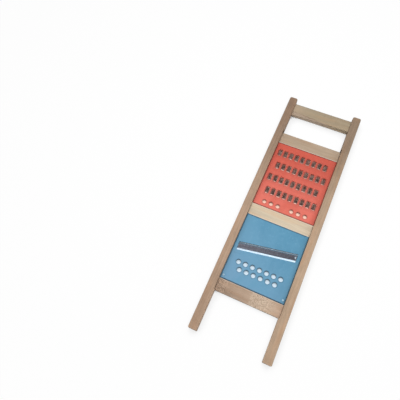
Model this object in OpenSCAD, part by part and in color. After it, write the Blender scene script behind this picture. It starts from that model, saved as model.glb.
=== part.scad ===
// Wooden vegetable cutter: two side rails joined by thin cross rails and a handle bar,
// with a moulded grating plate and a moulded slicing plate held in the rails' grooves.
// X runs across the cutter, Y from the legs to the handle, Z up from the underside.
// All sizes are in millimetres.

/* [Side rails] */
// Clear width between the two side rails
inner_width = 92.5; // [76:0.5:125]
// Width of each side rail
rail_width = 12.6; // [10.5:0.1:18]
// Height of the side rails
rail_height = 12; // [10.5:0.5:18]
// Rounding of the rails' long edges
rail_edge_radius = 0.8; // [0.3:0.1:1.2]
// Rounding of the rails' corners at the handle end
rail_far_radius = 2.8; // [1:0.1:4]
// Rounding of the rails' corners at the leg end
rail_leg_radius = 1.1; // [0.5:0.1:3]

/* [Layout along the length] */
// Free length of the legs below the lower cross rail
leg_length = 60; // [30:1:90]
// Width of the lower cross rail
lower_rail_width = 19; // [14:0.5:26]
// Room for the slicing plate
slicing_length = 105; // [86:1:140]
// Width of the middle cross rail
middle_rail_width = 18.4; // [14:0.1:26]
// Room for the grating plate
grating_length = 113.8; // [94:0.2:150]
// Width of the upper cross rail
upper_rail_width = 18.8; // [14:0.1:26]
// Length of the hand gap
hand_gap = 36.4; // [28:0.2:50]
// Width of the handle bar
handle_width = 20.2; // [16:0.2:28]
// Length of the rails beyond the handle bar
rail_overhang = 8.4; // [4:0.2:20]

/* [Grooves and joints] */
// Height of the wooden lip under the plates
lip_height = 1.2; // [1:0.1:2]
// Depth of the groove that holds the plates and the cross rails' tongues
groove_depth = 3.5; // [2.5:0.1:5]
// Depth that the rails are cut back above the plates
rail_relief = 1.3; // [0.5:0.1:2]
// Gap between a plate's side and the bottom of its groove
plate_side_gap = 0.2; // [0.1:0.05:0.5]
// Gap between a plate's end and the cross rail beside it
plate_end_gap = 0.25; // [0.1:0.05:0.5]
// Gap between a tongue or tenon and the bottom of its seat
tenon_gap = 0.1; // [0.05:0.05:0.3]
// Easing of the cross rails' free edges
cross_rail_edge = 0.5; // [0.2:0.1:0.8]

/* [Handle bar] */
// Height of the handle bar's underside above the rails' underside
handle_lift = 1; // [0:0.1:2]
// Thickness of the handle bar
handle_thickness = 8.6; // [7:0.1:11]
// Width of the flat left on the underside, beside the hand gap
handle_flat = 8.4; // [5:0.1:12]
// Height of the bevel on the underside, at the bar's outer side
handle_bevel = 5; // [3:0.1:6]
// Rounding of the handle bar's edges
handle_edge_radius = 1; // [0.5:0.1:2]
// Width of the cut chamfer at the left end, on the hand gap's side
handle_chamfer = 4.4; // [1:0.1:6]
// Length over which that chamfer runs out to nothing
chamfer_run = 66; // [30:1:70]
// Fall of that chamfer for each millimetre of its width
chamfer_fall = 0.67; // [0.4:0.01:1]
// Length of each tenon
tenon_length = 8; // [5:0.5:9]
// Thickness of each tenon
tenon_thickness = 3.6; // [3:0.1:5]
// Width of each tenon
tenon_width = 12; // [8:0.5:14]

/* [Moulded plates] */
// Thickness of both plates
plate_thickness = 2.5; // [2:0.1:4]
// Diameter of the round holes in the slicing plate
slicing_hole_d = 6.4; // [4.5:0.1:8]
// Distance between neighbouring holes in the slicing plate
slicing_hole_pitch = 10.5; // [9.5:0.1:14]
// Distance from the plate's lower end to the first row of holes
slicing_hole_start = 20.6; // [14:0.1:22]
// Distance between the two rows of holes in the slicing plate
slicing_hole_rows = 10.4; // [9:0.1:12]
// Diameter of the round holes in the grating plate
grating_hole_d = 6; // [4.5:0.1:8]
// Distance between neighbouring holes in the grating plate
grating_hole_pitch = 10.55; // [9.5:0.05:13]
// Distance from the grating plate's lower end to its row of holes
grating_hole_start = 8.6; // [6:0.1:12]
// Least distance from a side rail to the middle of a round hole
hole_margin = 13; // [8:0.5:20]

/* [Grating teeth] */
// Width of each window
window_width = 5.3; // [4:0.1:6.5]
// Length of each window
window_length = 12; // [9:0.1:13]
// Cut corners of each window
window_corner = 0.5; // [0.2:0.1:1]
// Distance between neighbouring windows in a row
window_pitch = 9.1; // [8:0.1:12]
// Sideways shift of each row, to one side and the other in turn
row_shift = 2.2; // [0:0.1:2.5]
// Distance from the plate's lower end to the middle of the first row of windows
first_row = 28.5; // [24:0.1:32]
// Distance from the plate's upper end to the middle of the last row of windows
last_row = 17.3; // [12:0.1:22]
// Least distance from a side rail to a window
window_margin = 4.4; // [3:0.1:8]
// Thickness of the steel tooth strips
strip_thickness = 0.6; // [0.4:0.1:1]
// Width of the strip's spine inside the plate
spine_width = 3.6; // [2.5:0.1:4]
// Gap between a tooth and its window's sides
tooth_side_gap = 0.2; // [0.1:0.05:0.5]
// Length of each tooth's level root
tooth_root = 1.9; // [1:0.1:3]
// Open length of the window beyond the tooth's tip
tooth_opening = 2.4; // [1.5:0.1:4]
// Height of the teeth above the plate
tooth_height = 2.6; // [1.5:0.1:4]
// Length of the ground edge at the tip of each tooth
tooth_bevel = 0.9; // [0.3:0.1:1.5]
// Rounding of each tooth's tip, as the depth of its arc
tooth_tip_arc = 1; // [0.3:0.1:2]

/* [Slicing knife] */
// Angle of the knife to the cross rails
knife_angle = 10.1; // [0:0.1:14]
// Distance from the plate's lower end to the middle of the knife's slot edge
knife_start = 54.3; // [50:0.1:58]
// Distance from a side rail to the end of the knife's slot
knife_margin = 4.6; // [4:0.1:10]
// Thickness of the knife
knife_thickness = 0.8; // [0.6:0.1:1.2]
// Width of the knife's root inside the plate
knife_grip = 4.5; // [3:0.1:6]
// Length of the knife's root beyond the ends of its slot
knife_tail = 1.6; // [1:0.1:2.5]
// Width of the level part of the knife that shows in the slot
knife_level = 2.75; // [1.5:0.05:4]
// Width of the knife that shows, seen from above
knife_reach = 10.6; // [8:0.1:13]
// Height of the knife's edge above the plate
knife_height = 1.9; // [1:0.1:3]
// Length of the knife's ground edge
knife_bevel = 1.1; // [0.5:0.1:2]
// Opening between the knife's edge and the far side of its slot
knife_throat = 2; // [1.5:0.1:4]
// Gap at each end of the knife
knife_end_gap = 0.2; // [0.1:0.05:0.5]
// Depth of the notch in the knife's right end
knife_notch = 1.1; // [0.5:0.1:2.5]

/* [Pins and nails] */
// Diameter of the nails in the cross rails
rail_nail_d = 1.1; // [0.8:0.1:1.2]
// Length of the nails in the cross rails
rail_nail_length = 24; // [18:1:30]
// Diameter of the nails in the handle bar
handle_nail_d = 1.8; // [1.2:0.1:2.2]
// Length of the nails in the handle bar
handle_nail_length = 34; // [26:1:40]
// Depth that the nail heads lie below the rails' outer sides
nail_recess = 0.3; // [0.1:0.1:0.6]
// Diameter of the nail heads, in shank diameters
nail_head_ratio = 2; // [1.6:0.1:2.2]
// Thickness of the nail heads
nail_head_height = 0.7; // [0.4:0.1:1]
// Gap round each nail and pin
nail_gap = 0.05; // [0.02:0.01:0.1]
// Diameter of the domed head of each plate pin
pin_head_d = 3; // [1.8:0.1:3.6]
// Height of the domed head of each plate pin
pin_head_height = 1; // [0.6:0.1:1.2]
// Diameter of the plate pins
pin_d = 1.1; // [0.8:0.1:1.2]
// Length of the plate pins
pin_length = 10; // [9:0.5:11]
// Downward slope of the plate pins, towards the side rails
pin_slope = 13; // [10:0.5:15]
// Distance from a side rail to the middle of a plate pin's head
pin_inset = 2.4; // [1.8:0.1:4]
// Distance from the slicing plate's lower end to the plate pins
pin_start = 5.7; // [4:0.1:8]

/* [Hidden] */

$fn = 48;
// Extra length of a cut beyond the face it opens
overcut = 1;
// Segments in a drawn quarter round
arc_steps = 5;
// Segments in the arc of a tooth's tip
tip_steps = 6;
// Rows of windows in the grating plate
rows = 4;

// Places along the length, from the legs to the handle
overall_length = leg_length + lower_rail_width + slicing_length + middle_rail_width + grating_length
    + upper_rail_width + hand_gap + handle_width + rail_overhang;
legs_end_y = -overall_length / 2;
lower_rail_y = legs_end_y + leg_length;
slicing_y = lower_rail_y + lower_rail_width;
middle_rail_y = slicing_y + slicing_length;
grating_y = middle_rail_y + middle_rail_width;
upper_rail_y = grating_y + grating_length;
hand_gap_y = upper_rail_y + upper_rail_width;
handle_y = hand_gap_y + hand_gap;
far_end_y = legs_end_y + overall_length;

// Places across the width and up the height
inner_half = inner_width / 2;
outer_half = inner_half + rail_width;
groove_half = inner_half + groove_depth;
plate_half = groove_half - plate_side_gap;
plate_top = lip_height + plate_thickness;
tongue_z = lip_height + plate_thickness / 2;

// Windows and teeth
columns = 1 + floor((inner_width - 2 * (window_margin + row_shift) - window_width) / window_pitch);
row_half = (columns - 1) * window_pitch / 2;
row_pitch = (grating_length - first_row - last_row) / (rows - 1);
strip_z = lip_height + (plate_thickness - strip_thickness) / 2;
tooth_width = window_width - 2 * tooth_side_gap;
tooth_reach = window_length - tooth_opening;
tooth_rise = plate_top + tooth_height - strip_z - strip_thickness;
spine_half = row_half + window_width / 2 + spine_width / 2;
// Posts of moulded plastic through the spine, and how far each tooth reaches back over it
post_d = spine_width / 2;
tooth_lap = spine_width / 4;

// Knife
knife_z = lip_height + (plate_thickness - knife_thickness) / 2;
knife_rise = plate_top + knife_height - knife_z - knife_thickness;
slot_half = inner_half - knife_margin;
slot_width = knife_reach + knife_throat;
knife_lap = knife_grip / 4;

// Handle bar
handle_top = handle_lift + handle_thickness;
tenon_z = handle_top - rail_edge_radius - tenon_thickness;
tenon_y = handle_y + (handle_width - tenon_width) / 2 - handle_bevel / 2;
handle_nail_z = tenon_z + tenon_thickness / 2;

// Depth of the middle of a plate pin's upper end below the plate's top
pin_sink = pin_d / 4;

// Columns of round holes that fit between the rails, in the longer row of the slicing plate
slicing_columns = 1 + floor((inner_width - 2 * hole_margin) / slicing_hole_pitch);
grating_columns = 1 + 2 * floor((inner_half - hole_margin) / grating_hole_pitch);

// Points of an arc round a centre, from one angle to another
function arc(centre, r, from, to, steps = arc_steps) =
    [for (i = [0 : steps]) let (a = from + (to - from) * i / steps) centre + r * [cos(a), sin(a)]];

// Side view of a strip bent upward: level from -back to level, then rising to its ground tip.
// The level top face lies at height zero.
function bent_strip(back, level, reach, rise, thickness, bevel) =
    let (slope = atan(rise / (reach - level)))
    let (along = [cos(slope), sin(slope)])
    let (down = thickness * [sin(slope), -cos(slope)])
    let (tip = [reach, rise])
    [[-back, 0], [-back, -thickness], [level + thickness * tan(slope / 2), -thickness],
        tip - bevel * along + down, tip, [level, 0]];

// Extrudes an outline drawn in Y and Z along X
module along_x(from, to) {
    translate([from, 0, 0]) rotate([90, 0, 90]) linear_extrude(to - from) children();
}

// Extrudes an outline drawn in X and Z along Y
module along_y(from, to) {
    translate([0, to, 0]) rotate([90, 0, 0]) linear_extrude(to - from) children();
}

// A piece and its mirror image on the other side of the middle
module both_sides() {
    children();
    mirror([1, 0, 0]) children();
}

// One headed nail driven inward through the right side rail, grown by a gap for its hole
module rail_nail(y, z, d, nail_length, gap = 0) {
    translate([outer_half - nail_recess, y, z]) rotate([0, -90, 0]) {
        cylinder(d = d + 2 * gap, h = nail_length + gap);
        translate([0, 0, gap > 0 ? -nail_recess - overcut : 0])
            cylinder(d = nail_head_ratio * d + 2 * gap,
                h = nail_head_height + (gap > 0 ? nail_recess + overcut + gap : 0));
    }
}

// The three nails of the right side that hold the cross rails
module cross_rail_nails_right(gap = 0) {
    for (y = [lower_rail_y + lower_rail_width / 2, middle_rail_y + middle_rail_width / 2,
            upper_rail_y + upper_rail_width / 2])
        rail_nail(y, tongue_z, rail_nail_d, rail_nail_length, gap);
}

// The nail of the right side that holds the handle bar
module handle_nail_right(gap = 0) {
    rail_nail(tenon_y + tenon_width / 2, handle_nail_z, handle_nail_d, handle_nail_length, gap);
}

// The sloping shank of the right plate pin, grown by a gap for its hole
module pin_shank(gap = 0) {
    translate([inner_half - pin_inset, slicing_y + pin_start, plate_top - pin_sink])
        rotate([0, 90 + pin_slope, 0]) cylinder(d = pin_d + 2 * gap, h = pin_length + gap);
}

// The right side rail: eased edges, a stopped groove with the wood above it cut back, and a mortise
module side_rail() {
    r = rail_edge_radius;
    difference() {
        intersection() {
            linear_extrude(rail_height) polygon(concat(
                arc([inner_half + rail_leg_radius, legs_end_y + rail_leg_radius], rail_leg_radius, 180, 270),
                arc([outer_half - rail_leg_radius, legs_end_y + rail_leg_radius], rail_leg_radius, 270, 360),
                arc([outer_half - rail_far_radius, far_end_y - rail_far_radius], rail_far_radius, 0, 90),
                arc([inner_half + rail_far_radius, far_end_y - rail_far_radius], rail_far_radius, 90, 180)));
            along_y(legs_end_y, far_end_y) polygon(concat(
                [[inner_half, 0]],
                arc([outer_half - r, r], r, -90, 0),
                arc([outer_half - r, rail_height - r], r, 0, 90),
                arc([inner_half + r, rail_height - r], r, 90, 180)));
        }
        translate([inner_half - overcut, lower_rail_y, lip_height])
            cube([groove_depth + overcut, hand_gap_y - lower_rail_y, plate_thickness]);
        translate([inner_half - overcut, lower_rail_y, plate_top])
            cube([rail_relief + overcut, hand_gap_y - lower_rail_y, rail_height]);
        translate([inner_half - overcut, tenon_y, tenon_z])
            cube([tenon_length + overcut, tenon_width, tenon_thickness]);
        cross_rail_nails_right(nail_gap);
        handle_nail_right(nail_gap);
        pin_shank(nail_gap);
    }
}

// A cross rail with a tongue at each end; low_edge and high_edge ease the sides that face a gap
module cross_rail(y, width, low_edge, high_edge) {
    lo = low_edge ? cross_rail_edge : 0;
    hi = high_edge ? cross_rail_edge : 0;
    difference() {
        union() {
            along_x(-inner_half, inner_half)
                polygon([[y + lo, 0], [y + width - hi, 0], [y + width, hi], [y + width, plate_top - hi],
                    [y + width - hi, plate_top], [y + lo, plate_top], [y, plate_top - lo], [y, lo]]);
            both_sides() translate([inner_half, y, lip_height])
                cube([groove_depth - tenon_gap, width, plate_thickness]);
        }
        both_sides() cross_rail_nails_right(nail_gap);
    }
}

// One window with cut corners, centred on its place
module window_outline() {
    w = window_width / 2;
    l = window_length / 2;
    c = window_corner;
    polygon([[-w + c, -l], [w - c, -l], [w, -l + c], [w, l - c], [w - c, l], [-w + c, l], [-w, l - c],
        [-w, -l + c]]);
}

// Places its child at the middle of one row of windows; rows count from the legs
module at_row(row) {
    shift = row % 2 == 0 ? row_shift : -row_shift;
    translate([shift, grating_y + first_row + row * row_pitch, 0]) children();
}

// The hidden spine of a tooth strip, with holes that the moulded plate fills
module strip_spine() {
    translate([0, -window_length / 2 - spine_width, strip_z]) linear_extrude(strip_thickness) difference() {
        translate([-spine_half, 0]) square([2 * spine_half, spine_width]);
        for (i = [1 : columns - 1])
            translate([(i - 0.5) * window_pitch - row_half, spine_width / 2]) circle(d = post_d);
    }
}

// One tooth, rising from its root at the window's lower end
module tooth() {
    w = tooth_width;
    translate([0, -window_length / 2, strip_z + strip_thickness]) intersection() {
        along_x(-w / 2, w / 2) polygon(bent_strip(tooth_lap, tooth_root, tooth_reach, tooth_rise,
            strip_thickness, tooth_bevel));
        translate([0, 0, -overcut]) linear_extrude(tooth_rise + 2 * overcut) polygon(concat(
            [[-w / 2, -spine_width / 2], [w / 2, -spine_width / 2]],
            [for (i = [tip_steps : -1 : 0]) let (u = 2 * i / tip_steps - 1)
                [u * w / 2, tooth_reach - tooth_tip_arc * u * u]]));
    }
}

// A steel strip with its row of teeth
module tooth_strip(row) {
    color("dimgray") at_row(row) {
        strip_spine();
        for (i = [0 : columns - 1]) translate([i * window_pitch - row_half, 0, 0]) tooth();
    }
}

// A plain moulded plate in its room between two cross rails
module plate_blank(y, room) {
    translate([-plate_half, y + plate_end_gap, lip_height])
        cube([2 * plate_half, room - 2 * plate_end_gap, plate_thickness]);
}

// The red plate: windows over the tooth strips, and a row of holes with the middle one left out
module grating_plate() {
    color("tomato") difference() {
        plate_blank(grating_y, grating_length);
        for (row = [0 : rows - 1]) at_row(row) {
            for (i = [0 : columns - 1]) translate([i * window_pitch - row_half, 0, 0])
                linear_extrude(rail_height) window_outline();
            strip_spine();
        }
        for (i = [1 : (grating_columns - 1) / 2]) both_sides()
            translate([i * grating_hole_pitch, grating_y + grating_hole_start, 0])
                cylinder(d = grating_hole_d, h = rail_height);
    }
}

// Places its child at the middle of the knife's slot edge, turned along the knife
module at_knife() {
    translate([0, slicing_y + knife_start, 0]) rotate([0, 0, knife_angle]) children();
}

// Keeps what lies within a distance of the middle, so that its ends are parallel to the side rails
module within(half) {
    intersection() {
        children();
        translate([-half, slicing_y, 0]) cube([2 * half, slicing_length, rail_height]);
    }
}

// The knife's root inside the plate
module knife_root() {
    within(slot_half + knife_tail) at_knife() translate([-outer_half, -knife_grip, knife_z])
        cube([2 * outer_half, knife_grip, knife_thickness]);
}

// The blue plate: an oblique slot for the knife and two staggered rows of holes
module slicing_plate() {
    color("steelblue") difference() {
        plate_blank(slicing_y, slicing_length);
        within(slot_half) at_knife() translate([-outer_half, 0, 0])
            cube([2 * outer_half, slot_width, rail_height]);
        knife_root();
        for (row = [0 : 1]) let (last = slicing_columns - 2 + row) for (i = [0 : last])
            translate([(i - last / 2) * slicing_hole_pitch,
                    slicing_y + slicing_hole_start + row * slicing_hole_rows, 0])
                cylinder(d = slicing_hole_d, h = rail_height);
        both_sides() pin_shank(nail_gap);
    }
}

// The steel knife: a root in the plate, a level strip, and a blade that rises to its ground edge
module slicing_knife() {
    middle = (knife_level + knife_reach) / 2;
    end = slot_half / cos(knife_angle) - middle * tan(knife_angle);
    color("darkgray") {
        knife_root();
        difference() {
            within(slot_half - knife_end_gap) at_knife() translate([0, 0, knife_z + knife_thickness])
                along_x(-outer_half, outer_half) polygon(bent_strip(knife_lap, knife_level, knife_reach,
                    knife_rise, knife_thickness, knife_bevel));
            at_knife() translate([end, middle, 0]) linear_extrude(rail_height) scale(knife_notch)
                polygon([[1, -2], [1, 2], [-1, 0]]);
        }
    }
}

// The handle bar: bevelled below, chamfered by hand above, with a tenon at each end
module handle_bar() {
    r = handle_edge_radius;
    c = handle_chamfer;
    chamfer_angle = atan(handle_chamfer / chamfer_run);
    color("tan") difference() {
        union() {
            difference() {
                along_x(-inner_half, inner_half) polygon(concat(
                    arc([handle_y + r, handle_lift + r], r, 180, 270),
                    [[handle_y + handle_flat, handle_lift],
                        [handle_y + handle_width, handle_lift + handle_bevel]],
                    arc([handle_y + handle_width - r, handle_top - r], r, 0, 90),
                    arc([handle_y + r, handle_top - r], r, 90, 180)));
                translate([-inner_half, handle_y, handle_top]) rotate([0, 0, -chamfer_angle])
                    along_x(-overcut, outer_half)
                        polygon([[c, 0], [-c, -2 * c * chamfer_fall], [-c, overcut], [c, overcut]]);
            }
            both_sides() translate([inner_half, tenon_y, tenon_z])
                cube([tenon_length - tenon_gap, tenon_width, tenon_thickness]);
        }
        both_sides() handle_nail_right(nail_gap);
    }
}

// The two small pins that hold the slicing plate's lower corners to the rails
module plate_pins() {
    cap_radius = (pin_head_d * pin_head_d / 4 + pin_head_height * pin_head_height) / (2 * pin_head_height);
    color("silver") both_sides() {
        pin_shank();
        translate([inner_half - pin_inset, slicing_y + pin_start, plate_top]) intersection() {
            translate([0, 0, pin_head_height - cap_radius]) sphere(r = cap_radius);
            translate([-pin_head_d, -pin_head_d, 0]) cube([2 * pin_head_d, 2 * pin_head_d, pin_head_d]);
        }
    }
}

color("rosybrown") mirror([1, 0, 0]) side_rail();  // left_side_rail
color("rosybrown") side_rail();  // right_side_rail
handle_bar();
color("tan") cross_rail(upper_rail_y, upper_rail_width, false, true);  // upper_cross_rail
color("wheat") cross_rail(middle_rail_y, middle_rail_width, false, false);  // middle_cross_rail
color("burlywood") cross_rail(lower_rail_y, lower_rail_width, true, false);  // lower_cross_rail
grating_plate();
tooth_strip(0);  // tooth_strip_1
tooth_strip(1);  // tooth_strip_2
tooth_strip(2);  // tooth_strip_3
tooth_strip(3);  // tooth_strip_4
slicing_plate();
slicing_knife();
plate_pins();
color("gray") both_sides() cross_rail_nails_right();  // cross_rail_nails
color("gray") both_sides() handle_nail_right();  // handle_bar_nails
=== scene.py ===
"""Looks of the wooden vegetable cutter: raw wood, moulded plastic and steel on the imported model."""
import math

import bpy
from mathutils import Matrix, Vector


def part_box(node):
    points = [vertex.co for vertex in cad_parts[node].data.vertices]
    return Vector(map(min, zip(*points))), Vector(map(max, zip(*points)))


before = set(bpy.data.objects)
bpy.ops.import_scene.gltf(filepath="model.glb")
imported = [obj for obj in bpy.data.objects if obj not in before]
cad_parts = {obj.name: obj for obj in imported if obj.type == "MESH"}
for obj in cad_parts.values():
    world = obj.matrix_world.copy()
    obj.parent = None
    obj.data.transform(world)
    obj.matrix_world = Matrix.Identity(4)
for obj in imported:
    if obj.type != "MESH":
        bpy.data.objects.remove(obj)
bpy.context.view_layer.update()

MM = 0.001
UP = (0.0, 0.0, 1.0)
WHITE = (1.0, 1.0, 1.0)

# Camera: place in metres, heading from +Y towards -X, angle below the horizon and roll in degrees, width of
# the sensor and focal length in millimetres, and the nearest distance that it sees, in metres
CAMERA_PLACE = (0.0083, -0.2271, 0.5633)
CAMERA_HEADING = 32.75
CAMERA_DOWN = 66.77
CAMERA_ROLL = -8.81
SENSOR_WIDTH = 36.0
FOCAL_LENGTH = 36.035
NEAREST_SEEN = 0.01


def add_camera():
    """The photograph's view: high above the legs' end, with the cutter at the right of the picture."""
    data = bpy.data.cameras.new("camera")
    data.sensor_width = SENSOR_WIDTH
    data.lens = FOCAL_LENGTH
    data.clip_start = NEAREST_SEEN
    camera = bpy.data.objects.new("camera", data)
    bpy.context.scene.collection.objects.link(camera)
    camera.matrix_world = (
        Matrix.Translation(CAMERA_PLACE)
        @ Matrix.Rotation(math.radians(CAMERA_HEADING), 4, "Z")
        @ Matrix.Rotation(math.radians(90 - CAMERA_DOWN), 4, "X")
        @ Matrix.Rotation(math.radians(CAMERA_ROLL), 4, "Z")
    )
    bpy.context.scene.camera = camera


# Rims of holes: one less the cosine between the rounded and the true normal, where a rim starts to show and
# where it shows in full
RIM_LEAN = (0.003, 0.06)
# Share of open sky at which the painted shade in joints and corners is darkest, and at which it ends
AIR_RANGE = (0.25, 0.95)


class Graph:
    """One material's node tree, built with short calls.

    An input is a number, a colour, a vector or a socket. Masks run from none to one."""

    def __init__(self, tree):
        self.tree = tree
        tree.nodes.clear()

    def add(self, kind, inputs=None, **settings):
        """A new node, with values or links for its inputs and with its settings."""
        node = self.tree.nodes.new(kind)
        for name, value in settings.items():
            setattr(node, name, value)
        for name, value in (inputs or {}).items():
            self.put(node.inputs[name], value)
        return node

    def put(self, socket, value):
        """Links a socket to an input, or sets a constant on it."""
        if isinstance(value, bpy.types.NodeSocket):
            self.tree.links.new(value, socket)
        elif hasattr(value, "__len__") and len(value) == 3 and socket.type == "RGBA":
            socket.default_value = (*value, 1.0)
        else:
            socket.default_value = value

    def math(self, operation, a, b=0.0, clamp=False):
        return self.add("ShaderNodeMath", {0: a, 1: b}, operation=operation, use_clamp=clamp).outputs[0]

    def product(self, *factors):
        total = factors[0]
        for factor in factors[1:]:
            total = self.math("MULTIPLY", total, factor)
        return total

    def rest_of(self, mask):
        """Where a mask is not."""
        return self.math("SUBTRACT", 1.0, mask)

    def vector(self, operation, a, b=(0.0, 0.0, 0.0)):
        node = self.add("ShaderNodeVectorMath", {0: a, 1: b}, operation=operation)
        return node.outputs["Value" if operation in ("DOT_PRODUCT", "LENGTH") else "Vector"]

    def split(self, vector):
        """The X, Y and Z of a vector."""
        return self.add("ShaderNodeSeparateXYZ", {0: vector}).outputs

    def grey(self, value):
        return self.add("ShaderNodeCombineColor", {0: value, 1: value, 2: value}).outputs[0]

    def noise(self, vector, scale=1.0, detail=3.0, roughness=0.5, distortion=0.0, colour=False):
        node = self.add("ShaderNodeTexNoise", {"Vector": vector, "Scale": scale, "Detail": detail,
                                               "Roughness": roughness, "Distortion": distortion})
        return node.outputs["Color" if colour else "Fac"]

    def grain(self, space, across, along, seed, detail=3.0, roughness=0.5, colour=False):
        """Noise drawn out along Y: the scales across and along the grain, per millimetre."""
        shift = (17.3 * seed, 9.1 * seed, 5.7 * seed)
        place = self.add("ShaderNodeMapping", {"Vector": space, "Scale": (across, along, across),
                                               "Location": shift}).outputs[0]
        return self.noise(place, detail=detail, roughness=roughness, colour=colour)

    def between(self, value, low, high, to_low=0.0, to_high=1.0):
        """Takes a value smoothly from one range to another, and stays at the ends outside it."""
        node = self.add("ShaderNodeMapRange", {"Value": value, "From Min": low, "From Max": high,
                                               "To Min": to_low, "To Max": to_high})
        node.interpolation_type = "SMOOTHSTEP"
        return node.outputs[0]

    def mix(self, factor, a, b, blend="MIX"):
        node = self.add("ShaderNodeMix", data_type="RGBA", blend_type=blend)
        self.put(node.inputs["Factor"], factor)
        sockets = [s for s in node.inputs if s.type == "RGBA"]
        self.put(sockets[0], a)
        self.put(sockets[1], b)
        return [s for s in node.outputs if s.type == "RGBA"][0]

    def shade(self, colour, value):
        """The colour times a grey value."""
        return self.mix(1.0, colour, self.grey(value), "MULTIPLY")

    def paint(self, colour, *coats):
        """Lays coats over a colour in their order. Each is a mask, the coat's strength and its colour."""
        for mask, strength, coat in coats:
            colour = self.mix(self.product(mask, strength), colour, coat)
        return colour

    def bump(self, height, distance, strength=1.0, normal=None):
        node = self.add("ShaderNodeBump", {"Height": height, "Distance": distance, "Strength": strength})
        if normal is not None:
            self.put(node.inputs["Normal"], normal)
        return node.outputs[0]

    def open_air(self, distance, low):
        """Painted shade: one on open faces, down to the low value deep in joints, holes and corners."""
        node = self.add("ShaderNodeAmbientOcclusion", {"Distance": distance}, samples=6)
        return self.between(node.outputs["AO"], *AIR_RANGE, low, 1.0)

    def rim(self, radius):
        """Where the face is near a sharp edge, and the normal as if that edge were rounded."""
        rounded = self.add("ShaderNodeBevel", {"Radius": radius}, samples=8).outputs[0]
        normal = self.add("ShaderNodeNewGeometry").outputs["Normal"]
        lean = self.rest_of(self.vector("DOT_PRODUCT", rounded, normal))
        return self.between(lean, *RIM_LEAN), rounded

    def place(self):
        """Position in the shared frame, in millimetres."""
        coordinates = self.add("ShaderNodeTexCoord").outputs["Object"]
        return self.vector("MULTIPLY", coordinates, (1 / MM,) * 3)

    def facing(self, axis):
        """How squarely the face looks along an axis, either way."""
        normal = self.add("ShaderNodeTexCoord").outputs["Normal"]
        return self.math("ABSOLUTE", self.vector("DOT_PRODUCT", normal, axis))


def new_graph(name):
    """A material with an empty node tree."""
    material = bpy.data.materials.new(name)
    material.use_nodes = True
    return material, Graph(material.node_tree)


def finish_surface(g, colour, roughness, normal, metallic=0.0, specular=0.5):
    """Ends a material's tree in one principled shader."""
    shader = g.add("ShaderNodeBsdfPrincipled", {"Base Color": colour, "Roughness": roughness,
                                                "Normal": normal, "Metallic": metallic,
                                                "Specular IOR Level": specular})
    g.add("ShaderNodeOutputMaterial", {"Surface": shader.outputs[0]})


def times(colour, factor):
    """A colour made lighter or darker."""
    return tuple(factor * channel for channel in colour)


def centre_of(name):
    """The middle of a node's box, in millimetres."""
    low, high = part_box(name)
    return tuple((a + b) / 2 / MM for a, b in zip(low, high))


def from_ends(g, name):
    """How far a place is from the near and from the far side of a node's box along Y, in millimetres."""
    low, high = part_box(name)
    y = g.split(g.place())[1]
    return g.math("SUBTRACT", y, low[1] / MM), g.math("SUBTRACT", high[1] / MM, y)


def turned_space(g, middle, turn):
    """Position in millimetres from a point, turned about Z by an angle in degrees."""
    offset = g.vector("SUBTRACT", g.place(), middle)
    rotation = (0.0, 0.0, math.radians(turn))
    return g.add("ShaderNodeMapping", {"Vector": offset, "Rotation": rotation}).outputs[0]


# Wood: the tint of its warm clouds, and the lightness of pale and of dark wood against the mean colour
WARM_TINT = (1.08, 0.93, 0.82)
PALE_WOOD, DARK_WOOD = 1.16, 0.72
# Spacing of the growth rings and how far the grain wanders, in millimetres, and how many rings it drifts by
RING, WANDER, RING_DRIFT = 2.2, 8.0, 2.4
# Relief of the wood in millimetres
WOOD_RELIEF = 0.11
# Pale edges of the cross rails, a painted highlight: its colour, and how far from the side it ends and is
# full
CORNER_HIGHLIGHT = (0.90, 0.80, 0.70)
CORNER_WIDTH = (1.1, 0.5)


def wood_figure(g, space, seed, pith):
    """The figure of beech: late wood, fibres, fine fibres, flecks, dark clouds and warm clouds."""
    sway = g.vector("SUBTRACT", g.grain(space, 0.03, 0.005, seed, 2.0, colour=True), (0.5, 0.5, 0.5))
    bent = g.vector("ADD", space, g.vector("MULTIPLY", sway, (WANDER, 0.0, WANDER)))
    offset = g.vector("SUBTRACT", bent, (pith[0], 0.0, pith[1]))
    from_pith = g.vector("LENGTH", g.vector("MULTIPLY", offset, (1.0, 0.0, 1.0)))
    drift = g.math("MULTIPLY", g.grain(bent, 0.22, 0.003, seed + 1, 2.0), RING_DRIFT)
    phase = g.math("FRACT", g.math("ADD", g.math("DIVIDE", from_pith, RING), drift))
    late = g.product(g.between(phase, 0.2, 0.88), g.between(phase, 1.0, 0.93),
                     g.between(g.grain(space, 0.07, 0.01, seed + 2), 0.35, 0.65, 0.15, 1.0))
    fibre = g.grain(bent, 2.4, 0.04, seed + 3, 4.0, 0.65)
    fine = g.grain(bent, 7.0, 0.2, seed + 4, 2.0, 0.6)
    fleck = g.between(g.grain(bent, 3.6, 0.42, seed + 5, 1.0), 0.62, 0.74)
    dark_cloud = g.between(g.grain(space, 0.1, 0.012, seed + 6), 0.44, 0.66)
    warm_cloud = g.between(g.grain(space, 0.16, 0.018, seed + 7, 2.0), 0.46, 0.68)
    return late, fibre, fine, fleck, dark_cloud, warm_cloud


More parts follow.
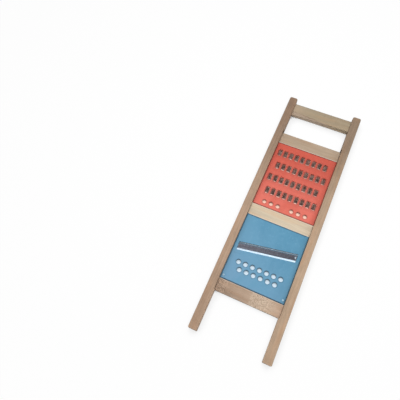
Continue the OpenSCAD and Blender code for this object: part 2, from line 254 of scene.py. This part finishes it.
def wood(name, node, tone, seed, pith, along_x=False, figure=1.0, marks=None, corners=(0.0, 0.0),
         ends=0.6):
    """Raw sanded beech: growth rings about a pith line, fibres, short brown flecks, grey and warm clouds.

    tone is the mean colour; pith is the middle of the rings in millimetres beside and above the piece's
    own middle; along_x turns the grain across the cutter; figure is the strength of rings, fine fibres and
    flecks; marks adds what only this piece shows; corners is the strength of the painted highlight along a
    cross rail's near and far edges; ends is the strength of the painted shade on the faces towards the legs
    and the handle."""
    material, g = new_graph(name)
    space = turned_space(g, centre_of(node), 90 if along_x else 0)
    late, fibre, fine, fleck, dark_cloud, warm_cloud = wood_figure(g, space, seed, pith)

    pale, dark = times(tone, PALE_WOOD), times(tone, DARK_WOOD)
    warm = tuple(t * w for t, w in zip(tone, WARM_TINT))
    colour = g.mix(g.between(fibre, 0.3, 0.7), pale, times(tone, 0.97))
    colour = g.paint(
        colour,
        (late, 0.42 * figure, dark),
        (warm_cloud, 0.6, warm),
        (dark_cloud, 0.34, dark),
        (g.between(fine, 0.5, 0.8), 0.26 * figure, dark),
        (fleck, 0.42 * figure, times(dark, 0.55)),
    )
    if marks:
        colour = marks(g, colour, g.split(g.place()))
    # Painted highlight along the cross rail's edges
    for strength, from_side in zip(corners, from_ends(g, node)):
        if strength:
            colour = g.paint(colour, (g.between(from_side, *CORNER_WIDTH), strength, CORNER_HIGHLIGHT))
    # Painted shade on the faces towards the legs and the handle
    end_face = g.between(g.facing((0.0, 1.0, 0.0)), 0.6, 0.9)
    colour = g.paint(colour, (end_face, ends, times(dark, 0.6)))
    # Painted shade in joints and corners
    colour = g.shade(colour, g.open_air(1.6 * MM, 0.45))

    raised = g.math("ADD", g.product(fine, 0.6), g.product(fibre, 0.8))
    sunk = g.math("ADD", g.product(fleck, 0.5), g.product(late, 0.25))
    normal = g.bump(g.math("SUBTRACT", raised, sunk), WOOD_RELIEF * MM, 0.8)
    finish_surface(g, colour, g.between(fibre, 0.2, 0.8, 0.6, 0.76), normal, specular=0.3)
    return material


# Side rails: where the painted shade towards the handle starts and ends, and what is left of the tone there
FAR_SHADE_FROM, FAR_SHADE_TO, FAR_SHADE_TONE = -30.0, 170.0, 0.58
# Heights between which the rounded edges of the side rails start, and the colour of the grime on them
RAIL_EDGE = (10.4, 11.9)
RAIL_GRIME = (0.20, 0.17, 0.13)


def rail_marks(g, colour, place):
    """Painted shade darkens the rails towards the handle, and they are greyer along their rounded edges."""
    # Painted shade, darker towards the handle
    far_shade = g.between(place[1], FAR_SHADE_FROM, FAR_SHADE_TO, 1.0, FAR_SHADE_TONE)
    blotch = g.between(g.noise(g.place(), scale=0.05), 0.3, 0.7, 1.05, 0.93)
    colour = g.shade(colour, g.product(far_shade, blotch))
    patchy = g.between(g.noise(g.place(), scale=0.3), 0.45, 0.65)
    curved = g.rest_of(g.between(g.facing(UP), 0.75, 0.98))
    grime = g.product(g.between(place[2], *RAIL_EDGE), patchy, curved)
    return g.paint(colour, (grime, 0.5, RAIL_GRIME))


# Handle bar: its near and far sides, and the hand-cut chamfer's start beside the left rail, its width there
# and its run
HANDLE_NEAR, HANDLE_FAR = (corner[1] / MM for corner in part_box("handle_bar"))
CHAMFER_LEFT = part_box("left_side_rail")[1][0] / MM
CHAMFER_WIDTH, CHAMFER_RUN = 4.4, 66.0
# Colours below the chamfer's edge, of the grain line along it, of the left end and of the far side
BELOW_CHAMFER, CHAMFER_LINE = (0.41, 0.315, 0.245), (0.20, 0.125, 0.08)
HANDLE_LEFT_END, HANDLE_FAR_SIDE = (0.52, 0.39, 0.28), (0.25, 0.225, 0.185)


def handle_marks(g, colour, place):
    """A brown grain line where the chamfer cuts the rings, pinkish wood below it and a paler left end."""
    x, y, _ = place
    run = g.math("DIVIDE", g.math("SUBTRACT", x, CHAMFER_LEFT), CHAMFER_RUN)
    edge = g.math("MULTIPLY", g.math("SUBTRACT", 1.0, run, clamp=True), CHAMFER_WIDTH)
    ragged = g.math("MULTIPLY", g.math("SUBTRACT", g.noise(g.place(), scale=0.18), 0.5), 1.8)
    above = g.math("ADD", g.math("SUBTRACT", g.math("SUBTRACT", y, HANDLE_NEAR), edge), ragged)
    below = g.product(g.between(above, 0.4, -0.4), g.between(x, 30.0, 0.0))
    line = g.product(g.between(g.math("ABSOLUTE", above), 1.1, 0.15), g.between(x, 6.0, -20.0))
    return g.paint(
        colour,
        (below, 0.7, BELOW_CHAMFER),
        (line, 0.6, CHAMFER_LINE),
        (g.between(x, -14.0, -44.0), 0.45, HANDLE_LEFT_END),
        (g.between(y, HANDLE_FAR - 3.1, HANDLE_FAR - 0.6), 0.5, HANDLE_FAR_SIDE),
    )


# Lower cross rail: the colours of its left end and of the wavy lines there
LOWER_LEFT_END, WAVY_LINE = (0.62, 0.46, 0.34), (0.13, 0.075, 0.05)
# Its speckled patch, from one place across the cutter to the other, and the colours of the patch's ground,
# dark specks, lines and light specks
PATCH_LEFT, PATCH_RIGHT = 2.0, 44.0
PATCH_GROUND, PATCH_DARK = (0.68, 0.56, 0.43), (0.30, 0.20, 0.135)
PATCH_LINE, PATCH_LIGHT = (0.33, 0.225, 0.155), (0.84, 0.70, 0.55)


def lower_marks(g, colour, place):
    """Thin wavy lines and a paler end at the left, lighter wood and a speckled patch at the right."""
    x = place[0]
    colour = g.shade(colour, g.between(x, -14.0, 20.0, 0.93, 1.18))
    wave = g.noise(g.place(), scale=0.34, roughness=0.6, distortion=0.6)
    lines = g.between(g.math("ABSOLUTE", g.math("SUBTRACT", wave, 0.5)), 0.05, 0.012)
    left = g.product(g.between(x, -16.0, -34.0), g.between(g.noise(g.place(), scale=0.09), 0.3, 0.48))
    patch = g.product(g.between(x, PATCH_LEFT - 0.6, PATCH_LEFT + 0.6),
                      g.between(x, PATCH_RIGHT, PATCH_RIGHT - 22.0))
    speckle = g.noise(g.place(), scale=0.95, roughness=0.7)
    return g.paint(
        colour,
        (g.between(x, -24.0, -44.0), 0.4, LOWER_LEFT_END),
        (g.product(left, lines), 0.8, WAVY_LINE),
        (patch, 0.45, PATCH_GROUND),
        (g.product(patch, g.between(speckle, 0.48, 0.36)), 0.75, PATCH_DARK),
        (g.product(patch, lines), 0.6, PATCH_LINE),
        (g.product(patch, g.between(speckle, 0.52, 0.64)), 0.7, PATCH_LIGHT),
    )


# Half the width between the side rails' faces above the plates
PLATE_HALF = 47.55
# Plastic: its roughness and its gloss
PLASTIC_ROUGH, PLASTIC_SPECULAR = 0.42, 0.45
# Holes in the plates: the reach of their rims in millimetres, the direction that their shaded sides face,
# towards the legs and a little to the right, the direction that their far ends face, and how far a face has
# to lean that way to start and to count in full
RIM_REACH = 3.6
SHADED_SIDE, FAR_END = (0.54, -0.84, 0.0), (0.0, -1.0, 0.0)
LEAN_COUNTS = (0.03, 0.3)
# Darkness of the painted shade on the rims away from the shaded side and on it
RIM_SIDES = (0.35, 0.9)


def hole_parts(g, y, round_to, rims):
    """The painted shade on the rims of a plate's holes, where the holes are windows, and where their far
    ends are.
    """
    near_edge, rounded = g.rim(RIM_REACH * MM)
    shaded = g.between(g.vector("DOT_PRODUCT", rounded, SHADED_SIDE), *LEAN_COUNTS)
    windows = g.between(y, round_to, round_to + 3.0)
    far_end = g.product(windows, g.between(g.vector("DOT_PRODUCT", rounded, FAR_END), *LEAN_COUNTS))
    rim_shade = g.product(near_edge, g.between(windows, 0.0, 1.0, *rims),
                         g.between(shaded, 0.0, 1.0, *RIM_SIDES), g.rest_of(far_end))
    return rim_shade, windows, far_end


def plastic(name, node, tone, deep, pale, sheened_tone, sheen_fall, seed, joint, round_to, rims, walls):
    """Moulded plastic: faint flow clouds, rubbing, a soft skin, a painted sheen, painted shade and light on
    the hole walls, and painted shadow along the joints and of the rails over the plate's sides.

    sheened_tone is the colour at the end with the most painted sheen, and sheen_fall the direction in which
    that painted sheen fades over the plate, scaled so that it runs from one to none. joint is the width in
    millimetres and the darkness of the painted shadow beside the wood. Up to round_to, a place along Y, the
    holes are round, and beyond it they are windows or a slot. rims are the darkness of the painted shade on
    the round holes' and on the windows' rims. walls are the brightness of the painted shade and light on
    the round holes' walls, on the windows' walls and on the windows' far ends, which have no dark rim."""
    material, g = new_graph(name)
    space = g.vector("SUBTRACT", g.place(), centre_of(node))
    flow = g.noise(g.vector("MULTIPLY", space, (0.035, 0.022, 0.05)), distortion=0.8)
    mottle = g.noise(space, scale=0.3, detail=4.0, roughness=0.6)
    rub = g.grain(space, 0.9, 0.03, seed, 3.0, 0.6)
    scratch = g.product(g.between(g.grain(space, 3.0, 0.06, seed + 1, 1.0), 0.68, 0.76),
                        g.between(g.noise(space, scale=0.06), 0.45, 0.6))
    speck = g.between(g.noise(space, scale=0.8, detail=1.0), 0.7, 0.76)

    # Painted sheen, fading over the plate from one end to the other
    sheen = g.math("SUBTRACT", 0.5, g.vector("DOT_PRODUCT", space, sheen_fall))
    sheen = g.math("ADD", sheen, g.between(flow, 0.3, 0.7, -0.15, 0.15))
    x, y, _ = g.split(g.place())
    rim_shade, windows, far_end = hole_parts(g, y, round_to, rims)
    joint_width, joint_darkness = joint
    to_side = g.math("SUBTRACT", PLATE_HALF, g.math("ABSOLUTE", x))
    to_wood = g.math("MINIMUM", to_side, g.math("MINIMUM", *from_ends(g, node)))
    to_wood = g.math("ADD", to_wood, g.between(mottle, 0.35, 0.65, -0.2, 0.2))
    colour = g.paint(
        g.mix(g.between(sheen, 0.0, 1.0), tone, sheened_tone),
        (g.between(flow, 0.35, 0.68), 0.6, deep),
        (g.between(mottle, 0.5, 0.75), 0.3, pale),
        (scratch, 0.22, pale),
        (speck, 0.3, times(deep, 0.6)),
        # Painted shade on the rims of the holes
        (rim_shade, 1.0, times(deep, 0.2)),
        # Painted shadow along the joints with the wood, then the side rails' painted shadow over the
        # plate's sides
        (g.between(to_wood, joint_width, 0.35 * joint_width), joint_darkness, times(deep, 0.22)),
        (g.between(to_side, 9.0, 0.0), 0.3, times(deep, 0.62)),
    )
    # Painted shade in joints, holes and corners
    colour = g.shade(colour, g.open_air(2.2 * MM, 0.4))
    # Painted shade and light on the walls of the holes and windows
    round_wall, window_wall, end_wall = (times(deep, brightness) for brightness in walls)
    wall = g.mix(far_end, g.mix(windows, round_wall, window_wall), end_wall)
    colour = g.mix(g.between(g.facing(UP), 0.75, 0.4), colour, wall)

    dull = g.between(rub, 0.3, 0.8, PLASTIC_ROUGH - 0.04, PLASTIC_ROUGH + 0.1)
    dull = g.math("ADD", dull, g.product(scratch, 0.12))
    skin = g.math("SUBTRACT", g.noise(space, scale=1.5, detail=2.0), g.product(scratch, 0.6))
    sink = g.bump(g.noise(space, scale=0.045, detail=1.0), 0.5 * MM, 0.3)
    finish_surface(g, colour, dull, g.bump(skin, 0.04 * MM, 0.4, sink), specular=PLASTIC_SPECULAR)
    return material


def steel(name, node, tone, tarnish, turn, seed, across, along, rough, stain=0.6, depth=0.03,
          contrast=0.6, marks=None, metallic=1.0):
    """Rolled or ground steel: streaks along one direction, brown tarnish and dull stains.

    turn is the streaks' direction in degrees from Y, across and along are their scales, depth their relief
    in millimetres and contrast their darkness; stain is how strongly the tarnish shows, and marks adds what
    only this piece shows."""
    material, g = new_graph(name)
    space = turned_space(g, centre_of(node), turn)
    streak = g.grain(space, across, along, seed, 4.0, 0.7)
    hair = g.grain(space, 4 * across, 2 * along, seed + 1, 2.0, 0.6)
    patch = g.noise(g.place(), scale=0.25, detail=4.0, roughness=0.6)
    colour = g.mix(g.between(streak, 0.32, 0.68), tone, times(tone, 1 - contrast))
    colour = g.paint(colour, (g.between(patch, 0.45, 0.68), stain, tarnish))
    if marks:
        colour = marks(g, colour, node)
    # Painted shade in joints and corners
    colour = g.shade(colour, g.open_air(1.0 * MM, 0.5))
    dull = g.math("ADD", g.between(streak, 0.25, 0.75, rough - 0.06, rough + 0.12),
                  g.product(g.between(patch, 0.45, 0.7), 0.12))
    normal = g.bump(g.math("ADD", hair, streak), depth * MM, 0.5)
    finish_surface(g, colour, dull, normal, metallic=metallic)
    return material


# Width of a tooth strip's spine, which lies in the plate below the windows
SPINE_WIDTH = 3.6
# Teeth: how far from the tip the painted reflection of the red plate starts and is full, and where the
# painted glint ends and is full
TIP_RANGE, GLINT_RANGE = (3.0, 0.3), (1.1, 0.5)
# How far from the root the painted red reflection that colours the light specks there ends and is full
ROOT_TINT_RANGE = (1.5, 0.6)
RED_TIP, GLINT, ROOT_TINT = (0.74, 0.26, 0.19), (1.0, 0.9, 0.82), (0.90, 0.36, 0.30)


def tooth_marks(g, colour, node):
    """A painted reflection of the red plate: a red tint over each tooth's root, where it colours the light
    specks, and a reddish tip, with a painted glint on some teeth.
    """
    from_low, to_tip = from_ends(g, node)
    from_root = g.math("SUBTRACT", from_low, SPINE_WIDTH)
    ragged = g.between(g.noise(g.place(), scale=0.5, detail=2.0), 0.3, 0.7, -0.5, 0.5)
    root = g.between(g.math("ADD", from_root, ragged), *ROOT_TINT_RANGE)
    shimmer = g.between(g.noise(g.place(), scale=0.3, detail=1.0), 0.3, 0.7, 0.5, 1.5)
    lively = g.noise(g.place(), scale=0.22, detail=1.0)
    return g.paint(
        g.shade(colour, shimmer),
        (g.between(to_tip, *TIP_RANGE), 0.75, RED_TIP),
        (g.between(to_tip, *GLINT_RANGE), g.between(lively, 0.56, 0.64), GLINT),
        (root, g.between(lively, 0.6, 0.4, 0.55, 1.0), ROOT_TINT),
    )


# Direction of the knife in degrees from Y. Across the knife, in millimetres from its middle, where the
# painted highlight along the blade's edge starts and is full
KNIFE_TURN = 79.9
EDGE_BAND = (5.9, 6.9)
# Colours of the painted highlight at the edge and of the painted highlight on the level strip
KNIFE_EDGE, LEVEL_STRIP = (0.44, 0.72, 0.97), (0.66, 0.83, 0.98)


def knife_marks(g, colour, node):
    """Painted reflection, paler towards the left end, and pale blue painted highlights at the edge and on
    the level strip, over its real reflection.
    """
    along, across, _ = g.split(turned_space(g, centre_of(node), KNIFE_TURN - 90))
    return g.paint(
        g.shade(colour, g.between(along, -40.0, 44.0, 1.12, 0.76)),
        (g.between(across, *EDGE_BAND), 0.85, KNIFE_EDGE),
        (g.between(g.facing(UP), 0.97, 0.995), 0.9, LEVEL_STRIP),
    )


TOOTH_STRIPS = [f"tooth_strip_{row}" for row in (1, 2, 3, 4)]


def make_materials():
    """Every material by node name."""
    nails = steel("nail_steel", "cross_rail_nails", (0.45, 0.44, 0.43), (0.25, 0.20, 0.17), turn=0.0,
                  seed=9.0, across=0.8, along=0.8, rough=0.4)
    made = {
        "left_side_rail": wood("left_rail_wood", "left_side_rail", (0.47, 0.323, 0.225), seed=1.0,
                               pith=(22.0, -18.0), marks=rail_marks),
        "right_side_rail": wood("right_rail_wood", "right_side_rail", (0.495, 0.353, 0.243), seed=2.3,
                                pith=(-18.0, -30.0), marks=rail_marks),
        "handle_bar": wood("handle_wood", "handle_bar", (0.373, 0.298, 0.202), along_x=True, seed=3.1,
                           pith=(4.0, -40.0), figure=0.8, marks=handle_marks, ends=0.1),
        "upper_cross_rail": wood("upper_rail_wood", "upper_cross_rail", (0.432, 0.33, 0.237), along_x=True,
                                 seed=4.7, pith=(10.0, -33.0), figure=0.7, corners=(0.5, 0.0)),
        "middle_cross_rail": wood("middle_rail_wood", "middle_cross_rail", (0.633, 0.53, 0.395),
                                  along_x=True, seed=5.9, pith=(6.0, -44.0), figure=0.5,
                                  corners=(0.5, 0.5)),
        "lower_cross_rail": wood("lower_rail_wood", "lower_cross_rail", (0.485, 0.35, 0.255), along_x=True,
                                 seed=6.4, pith=(12.0, -22.0), marks=lower_marks, corners=(0.0, 0.35)),
        "grating_plate": plastic("red_plastic", "grating_plate", tone=(0.58, 0.088, 0.054),
                                 deep=(0.60, 0.087, 0.05), pale=(0.80, 0.18, 0.11),
                                 sheened_tone=(0.76, 0.165, 0.12), sheen_fall=(0.0, 0.0105, 0.0), seed=7.0,
                                 joint=(1.3, 0.6), round_to=18.0, rims=(0.6, 1.0), walls=(0.4, 1.0, 1.5)),
        "slicing_plate": plastic("blue_plastic", "slicing_plate", tone=(0.079, 0.27, 0.425),
                                 deep=(0.10, 0.31, 0.475), pale=(0.17, 0.39, 0.56),
                                 sheened_tone=(0.16, 0.345, 0.52), sheen_fall=(0.006, 0.008, 0.0), seed=8.0,
                                 joint=(1.9, 0.72), round_to=-80.0, rims=(0.95, 0.0),
                                 walls=(0.28, 0.1, 0.1)),
        "slicing_knife": steel("knife_steel", "slicing_knife", (0.79, 0.80, 0.97), (0.52, 0.49, 0.56),
                               turn=KNIFE_TURN, seed=11.0, across=0.75, along=0.02, rough=0.24, stain=0.3,
                               depth=0.002, contrast=0.5, marks=knife_marks),
        "plate_pins": steel("pin_steel", "plate_pins", (0.60, 0.84, 1.0), (0.50, 0.66, 0.78), turn=0.0,
                            seed=12.0, across=0.4, along=0.4, rough=0.4, stain=0.2, depth=0.004,
                            contrast=0.1, metallic=0.35),
        "cross_rail_nails": nails,
        "handle_bar_nails": nails,
    }
    # The teeth's reddish tone, and the red in their tarnish, are a painted reflection of the red plate
    # around them
    for number, name in enumerate(TOOTH_STRIPS):
        made[name] = steel(f"tooth_steel_{number + 1}", name, (0.98, 0.62, 0.53), (0.48, 0.26, 0.22),
                           turn=0.0, seed=3.0 + number, across=0.9, along=0.16, rough=0.26, depth=0.012,
                           contrast=0.75, marks=tooth_marks)
    return made


# Radius in millimetres of each piece's softened edges
SOFT_EDGES = {
    "left_side_rail": 0.35, "right_side_rail": 0.35, "handle_bar": 0.4, "upper_cross_rail": 0.3,
    "middle_cross_rail": 0.4, "lower_cross_rail": 0.3, "grating_plate": 0.15, "slicing_plate": 0.15,
    "slicing_knife": 0.05, **{name: 0.05 for name in TOOTH_STRIPS},
}
# Least angle in degrees of an edge that is softened, and how near vertices are to be joined, in millimetres
SHARP_ANGLE, SAME_PLACE = 32, 0.001


def dress_nodes():
    """Gives every CAD node its material and a weld, and softens the edges of the nodes in SOFT_EDGES."""
    made = make_materials()
    for name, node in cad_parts.items():
        node.data.materials.clear()
        node.data.materials.append(made[name])
        weld = node.modifiers.new("weld", "WELD")
        weld.merge_threshold = SAME_PLACE * MM
        if name in SOFT_EDGES:
            bevel = node.modifiers.new("soft_edges", "BEVEL")
            bevel.width = SOFT_EDGES[name] * MM
            bevel.segments = 2
            bevel.limit_method = "ANGLE"
            bevel.angle_limit = math.radians(SHARP_ANGLE)


# Floor: half its width in metres, how far it lies under the cutter, and its own colour under the lamps
FLOOR_HALF, FLOOR_DROP = 12.0, 0.2 * MM
FLOOR_COLOUR = (0.95, 0.95, 0.95)
# Ends along Y of the stretch that the two plates cover between the cross rails, and how soft its border is
PLATES_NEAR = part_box("lower_cross_rail")[1][1] / MM
PLATES_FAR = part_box("upper_cross_rail")[0][1] / MM
BORDER = 3.0
# Colours of the painted coloured light on the floor under the slicing plate and under the grating plate,
# and how far on either side of the middle cross rail's middle one starts to give way to the other
UNDER_BLUE, UNDER_RED = (0.66, 0.80, 0.91), (1.0, 0.64, 0.51)
TINT_CHANGE = 5.0
# Direction that the floor's light comes from, beyond the handle and high up, and how far that way a place
# on the floor looks for open sky, in millimetres
FLOOR_LIGHT_SIDE = (-0.22, 0.34, 0.91)
SKY_REACH = 14.0
# Shares of open sky between which the floor turns from painted shade to white, and between which its
# painted shadow fades in
WHITE_SKY, SHADOW_SKY = (0.1, 0.24), (0.85, 0.4)
# The painted shadow's darkness, and the share of the floor's glow in what the camera and mirrors see of it
SHADOW_DARKNESS, GLOW_SHARE = 0.14, 0.95


def floor_glow(g):
    """The floor's glow: white, with painted shade where little sky reaches it, a faint painted shadow round
    the cutter, and painted coloured light under the plates.
    """
    light_side = g.add("ShaderNodeCombineXYZ", dict(zip("XYZ", FLOOR_LIGHT_SIDE))).outputs[0]
    sky_node = g.add("ShaderNodeAmbientOcclusion", {"Distance": SKY_REACH * MM, "Normal": light_side},
                     samples=8)
    sky = sky_node.outputs["AO"]
    x, y, _ = g.split(g.place())
    middle, reach = (PLATES_NEAR + PLATES_FAR) / 2, (PLATES_FAR - PLATES_NEAR) / 2
    aside = g.between(g.math("ABSOLUTE", x), PLATE_HALF - BORDER, PLATE_HALF)
    beyond = g.between(g.math("ABSOLUTE", g.math("SUBTRACT", y, middle)), reach - BORDER, reach)
    outside = g.math("MAXIMUM", aside, beyond)
    shadow = g.product(outside, g.between(sky, *SHADOW_SKY, 0.0, SHADOW_DARKNESS))
    strength = g.product(g.between(sky, *WHITE_SKY), g.rest_of(shadow))
    change = centre_of("middle_cross_rail")[1]
    tint = g.mix(g.between(y, change - TINT_CHANGE, change + TINT_CHANGE), UNDER_BLUE, UNDER_RED)
    colour = g.mix(outside, tint, WHITE)
    return g.add("ShaderNodeEmission", {"Color": colour, "Strength": strength}).outputs[0]


def add_stage():
    """A wide white floor just under the cutter. Where the sky reaches it, it looks overexposed to white."""
    mesh = bpy.data.meshes.new("floor")
    h = FLOOR_HALF
    corners = [(x, y, -FLOOR_DROP) for x, y in ((-h, -h), (h, -h), (h, h), (-h, h))]
    mesh.from_pydata(corners, [], [(0, 1, 2, 3)])
    floor = bpy.data.objects.new("floor", mesh)
    bpy.context.scene.collection.objects.link(floor)
    material, g = new_graph("floor_white")
    diffuse = g.add("ShaderNodeBsdfDiffuse", {"Color": FLOOR_COLOUR}).outputs[0]
    path = g.add("ShaderNodeLightPath").outputs
    mirrored = g.math("MAXIMUM", path["Is Glossy Ray"], path["Is Transmission Ray"])
    seen = g.math("MAXIMUM", path["Is Camera Ray"], mirrored)
    mixed = g.add("ShaderNodeMixShader", {0: g.product(seen, GLOW_SHARE), 1: diffuse, 2: floor_glow(g)})
    g.add("ShaderNodeOutputMaterial", {"Surface": mixed.outputs[0]})
    mesh.materials.append(material)


# World: for its dark and for its bright zone, the direction of its middle, the cosines of the angles from
# there between which it fades in, and its part of the world's strength outside and inside
DARK_SIDE, DARK_EDGE, DARK_STRENGTH = (0.0, -0.54, 0.84), (0.55, 0.9), (0.48, 0.2)
BRIGHT_SIDE, BRIGHT_EDGE, BRIGHT_STRENGTH = (0.0, 0.21, 0.978), (0.940, 0.975), (0.0, 1.1)


def add_world():
    """A pale room: bright above the handle, where level metal mirrors it, and dark high up on the legs'
    side, where the teeth and the blade mirror it."""
    world = bpy.data.worlds.new("studio")
    bpy.context.scene.world = world
    world.use_nodes = True
    g = Graph(world.node_tree)
    direction = g.add("ShaderNodeTexCoord").outputs["Generated"]
    towards_dark = g.vector("DOT_PRODUCT", direction, DARK_SIDE)
    towards_bright = g.vector("DOT_PRODUCT", direction, BRIGHT_SIDE)
    strength = g.math("ADD", g.between(towards_dark, *DARK_EDGE, *DARK_STRENGTH),
                      g.between(towards_bright, *BRIGHT_EDGE, *BRIGHT_STRENGTH))
    background = g.add("ShaderNodeBackground", {"Color": WHITE, "Strength": strength})
    g.add("ShaderNodeOutputWorld", {"Surface": background.outputs[0]})


def add_area_light(name, place, size, power):
    """A soft box that looks at the middle of the cutter and shows in no mirror, in metres and watts."""
    data = bpy.data.lights.new(name, "AREA")
    data.shape = "RECTANGLE"
    data.size, data.size_y = size
    data.energy = power
    light = bpy.data.objects.new(name, data)
    bpy.context.scene.collection.objects.link(light)
    light.location = place
    light.rotation_mode = "QUATERNION"
    light.rotation_quaternion = (-Vector(place)).to_track_quat("-Z", "Y")
    light.visible_camera = False
    light.visible_glossy = False


def add_lights():
    """A soft box above the handle, and a weak one beyond the legs. The world alone shows in gloss."""
    add_area_light("top_box", place=(-0.02, 0.15, 0.62), size=(0.5, 0.45), power=2.7)
    add_area_light("low_fill", place=(0.15, -0.95, 0.5), size=(0.8, 0.5), power=1.6)


add_camera()
dress_nodes()
add_stage()
add_world()
add_lights()
bpy.context.scene.view_settings.view_transform = "Standard"
